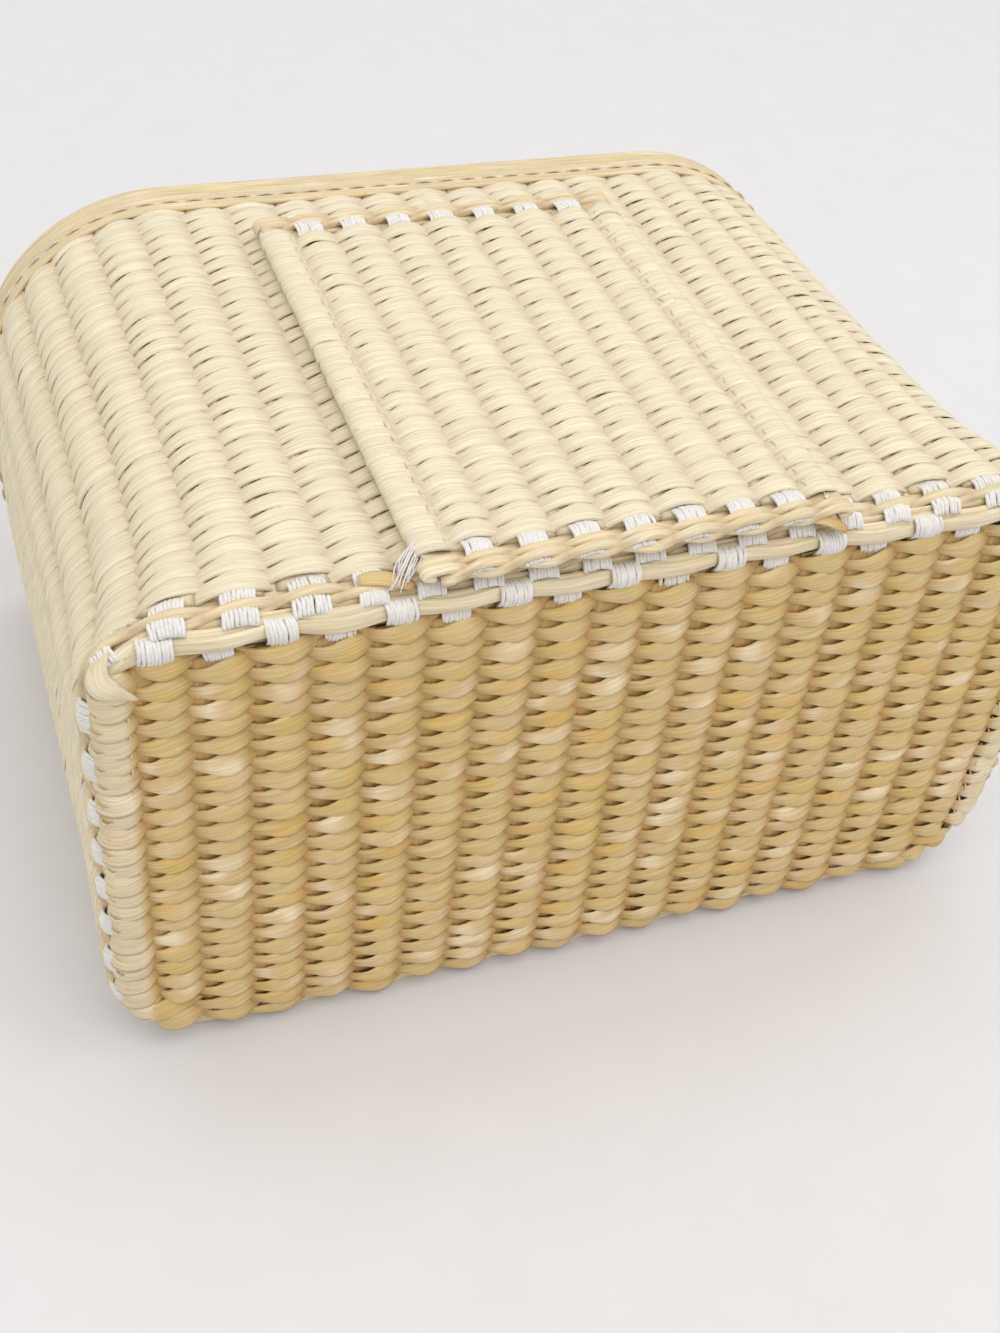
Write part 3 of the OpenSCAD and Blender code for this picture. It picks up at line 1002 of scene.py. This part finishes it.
class POUCH_OT_loose_ends(bpy.types.Operator):
    """Leave frayed warp threads and loose straw ends at the corners of the panel and the base"""

    bl_idname = "pouch.loose_ends"
    bl_label = "Loose ends"
    fibre_r = 0.17 * MM
    end_half_w, end_half_t = 1.5 * MM, 0.6 * MM
    tip_half_w, tip_half_t = 2.3 * MM, 0.4 * MM
    # Points of the straw ends from the corners they lie at, in mm.
    left_end = [(-9.5, 4.6, -4.0), (-7.0, 4.2, -3.4), (-3.5, 3.2, -3.8), (-0.8, 2.4, -5.0)]
    right_end = [(-8.5, 2.2, -3.2), (-6.0, 1.0, -2.6), (-3.5, -0.2, -3.4), (-1.6, -0.8, -4.8)]
    tip = [
        (3.2, 3.4, -3.0), (1.4, 0.8, -4.4), (1.6, -1.0, -6.2), (4.2, -0.8, -8.2), (7.6, -0.2, -10.6)
    ]

    def execute(self, context):
        sizes, _, colours, rng = started(context, 8)
        left = np.array((PANEL_LOW.x, PANEL_LOW.y, PANEL_HIGH.z))
        right = left + (sizes.panel_w, 0, 0)
        threads = Strands(flat=False)
        self.fray(threads, rng, left, (1.5, 8.5, -0.7), (-4.5, 1.0, -4.6), 0.8, 24)
        self.fray(threads, rng, right, (-3.5, 4.5, -0.8), (-1.5, 0.8, -3.6), 1.2, 9)
        material = bpy.data.materials["white warp"]
        threads.build("frayed_threads", material, "white_warp")
        straws = Strands()
        self.straw_end(straws, left, self.left_end)
        self.straw_end(straws, right, self.right_end)
        # Painted shade on these straw ends, in the dark brown of tucked straw.
        material = straw_material("straw end with painted shade", colours, 0.0)
        straws.build("straw_ends_painted_shade", material, "straw")
        straws = Strands()
        self.folded_tip(straws, sizes)
        # Painted light: the folded tip is paled with a share of 0.6.
        material = straw_material("pale straw tip", colours, 0.6)
        straws.build("folded_straw_tip", material, "straw")
        return {"FINISHED"}

    def fray(self, threads, rng, corner, start, end, spread_out, count):
        """Threads that come out of a panel corner and fan out over the border below it."""
        start, end = (corner + np.array(place) * MM for place in (start, end))
        radius = self.fibre_r * np.linspace(1.0, 0.55, 9)
        for _ in range(count):
            side = rng.uniform(-0.5, 0.5)
            reach = rng.uniform(0.55, 1.0)
            begin = start + np.array((side * 1.6, rng.normal(0, 0.6), rng.uniform(-0.4, 0.1))) * MM
            fan = np.array((side * spread_out, 0, rng.normal(0, 0.3))) * MM
            stop = begin + (end - start) * reach + fan
            bow = (begin + stop) / 2 + np.array((rng.normal(0, 0.8), -0.3, 0.9)) * MM
            path = sweep([begin, bow, stop], 9)
            threads.add_thread(path, (1.0, 0.0, 0.0), radius, rng)

    def straw_end(self, straws, corner, points):
        """A straw end beside a front corner of the panel, with painted shade darkening it to
        brown towards its end by the corner.
        """
        path = sweep(corner + np.array(points) * MM, 13)
        width = self.end_half_w * np.sin(np.linspace(0.5, 2.7, 13)) ** 0.5
        hint = (0.3, 0.9, 0.3)
        # Painted shade: the shown weight falls along the straw, so it turns dark brown towards its
        # end by the corner.
        straws.add(path, hint, width, self.end_half_t, 0.0, False, 3.0, np.linspace(1.0, 0.1, 13))

    def folded_tip(self, straws, sizes):
        """A straw tip folded over the upper corner of the base."""
        lift = sizes.base_wid + sizes.wall_proud
        base = np.array((-sizes.base_len / 2, -sizes.pouch_h / 2, lift))
        path = sweep(base + np.array(self.tip) * MM, 15)
        taper = np.append(np.sin(np.linspace(0.9, 1.7, 9)), np.linspace(0.95, 0.12, 6))
        hint = (0.75, 0.0, 0.66)
        straws.add(path, hint, self.tip_half_w * taper, self.tip_half_t, 0.0, False, 9.0)


def posed(right, up, back, spot):
    """Matrix of an object with the given axes and place."""
    rows = [(right[n], up[n], back[n], spot[n]) for n in range(3)]
    return Matrix([*rows, (0, 0, 0, 1)])


class POUCH_OT_stage(bpy.types.Operator):
    """Set the floor, the lights and the camera"""

    bl_idname = "pouch.stage"
    bl_label = "Stage"
    lens = 44.26
    # The camera's right, up and back directions, and its place.
    camera_pose = (
        (0.93709, -0.33580, 0.09535), (0.16503, 0.66686, 0.72668),
        (-0.30760, -0.66524, 0.68032), (-0.1141, -0.2614, 0.2844),
    )
    key_spot, key_aim = (0.12, -0.28, 1.3), (0, 0, 0.06)
    key_size, key_power = 1.8, 12.2
    fill_shade, fill_strength = (1.0, 0.99, 0.98), 0.8
    floor_reach = 4.0

    def execute(self, context):
        scene = context.scene
        colours = scene.pouch_colours
        scene.view_settings.view_transform = "Standard"
        self.floor(scene, colours)
        self.lamp(scene)
        self.world(scene, colours)
        data = bpy.data.cameras.new("camera")
        data.sensor_width = 36.0
        data.lens = self.lens
        data.clip_start = 0.01
        camera = bpy.data.objects.new("camera", data)
        camera.matrix_world = posed(*self.camera_pose)
        scene.collection.objects.link(camera)
        scene.camera = camera
        return {"FINISHED"}

    def floor(self, scene, colours):
        mesh = bpy.data.meshes.new("floor")
        reach = self.floor_reach
        corners = [(-reach, -reach, 0), (reach, -reach, 0), (reach, reach, 0), (-reach, reach, 0)]
        mesh.from_pydata(corners, [], [(0, 1, 2, 3)])
        sh = Shader("pale floor")
        place = sh.node("ShaderNodeTexCoord").outputs["Object"]
        grain = sh.stretched_noise(place, (60.0, 60.0, 60.0), 4.0, 0.6)
        tone = sh.mix(1.0, (*colours.floor, 1.0), sh.grey(grain, 0.985, 1.01), "MULTIPLY")
        sh.set(Base_Color=tone, Roughness=0.85)
        sh.bump(grain, 0.05, 0.2 * MM)
        mesh.materials.append(sh.material)
        obj = bpy.data.objects.new("floor", mesh)
        scene.collection.objects.link(obj)

    def lamp(self, scene):
        data = bpy.data.lights.new("key", "AREA")
        data.size = self.key_size
        data.energy = self.key_power
        obj = bpy.data.objects.new("key", data)
        back = np.array(self.key_spot) - np.array(self.key_aim)
        back /= np.linalg.norm(back)
        side = np.cross((0, 1, 0), back)
        side /= np.linalg.norm(side)
        obj.matrix_world = posed(side, np.cross(back, side), back, self.key_spot)
        scene.collection.objects.link(obj)

    def world(self, scene, colours):
        world = bpy.data.worlds.new("studio")
        scene.world = world
        world.use_nodes = True
        tree = world.node_tree
        tree.nodes.clear()
        backgrounds = []
        for shade, strength in ((self.fill_shade, self.fill_strength), (colours.floor, 1.0)):
            made = tree.nodes.new("ShaderNodeBackground")
            made.inputs["Color"].default_value = (*shade, 1.0)
            made.inputs["Strength"].default_value = strength
            backgrounds.append(made.outputs[0])
        path = tree.nodes.new("ShaderNodeLightPath")
        mixed = tree.nodes.new("ShaderNodeMixShader")
        shows = path.outputs["Is Camera Ray"]
        for kind in ("Is Glossy Ray", "Is Transmission Ray"):
            either = tree.nodes.new("ShaderNodeMath")
            either.operation = "MAXIMUM"
            tree.links.new(shows, either.inputs[0])
            tree.links.new(path.outputs[kind], either.inputs[1])
            shows = either.outputs[0]
        for source, socket in zip((shows, *backgrounds), mixed.inputs):
            tree.links.new(source, socket)
        out = tree.nodes.new("ShaderNodeOutputWorld")
        tree.links.new(mixed.outputs[0], out.inputs["Surface"])


PIECES = (
    POUCH_OT_base_mat,
    POUCH_OT_base_warps,
    POUCH_OT_wall_mat,
    POUCH_OT_wall_warps,
    POUCH_OT_front_panel,
    POUCH_OT_panel_warps,
    POUCH_OT_rim_binding,
    POUCH_OT_seams,
    POUCH_OT_loose_ends,
    POUCH_OT_stage,
)


class POUCH_PT_panel(bpy.types.Panel):
    """Sizes, colours and pieces of the pouch"""

    bl_idname = "POUCH_PT_panel"
    bl_label = "Basket pouch"
    bl_space_type = "VIEW_3D"
    bl_region_type = "UI"
    bl_category = "Pouch"

    def draw(self, context):
        for group in settings(context):
            box = self.layout.box()
            for name in group.bl_rna.properties.keys():
                if name not in ("rna_type", "name"):
                    box.prop(group, name)
        for piece in PIECES:
            self.layout.operator(piece.bl_idname)


CLASSES = (PouchSizes, PouchWeave, PouchColours, *PIECES, POUCH_PT_panel)


def register():
    for cls in CLASSES:
        bpy.utils.register_class(cls)
    bpy.types.Scene.pouch_sizes = bpy.props.PointerProperty(type=PouchSizes)
    bpy.types.Scene.pouch_weave = bpy.props.PointerProperty(type=PouchWeave)
    bpy.types.Scene.pouch_colours = bpy.props.PointerProperty(type=PouchColours)


def unregister():
    del bpy.types.Scene.pouch_colours
    del bpy.types.Scene.pouch_weave
    del bpy.types.Scene.pouch_sizes
    for cls in reversed(CLASSES):
        bpy.utils.unregister_class(cls)


def main():
    register()
    bpy.ops.pouch.base_mat()
    bpy.ops.pouch.base_warps()
    bpy.ops.pouch.wall_mat()
    bpy.ops.pouch.wall_warps()
    bpy.ops.pouch.front_panel()
    bpy.ops.pouch.panel_warps()
    bpy.ops.pouch.rim_binding()
    bpy.ops.pouch.seams()
    bpy.ops.pouch.loose_ends()
    bpy.ops.pouch.stage()


if __name__ == "__main__":
    main()
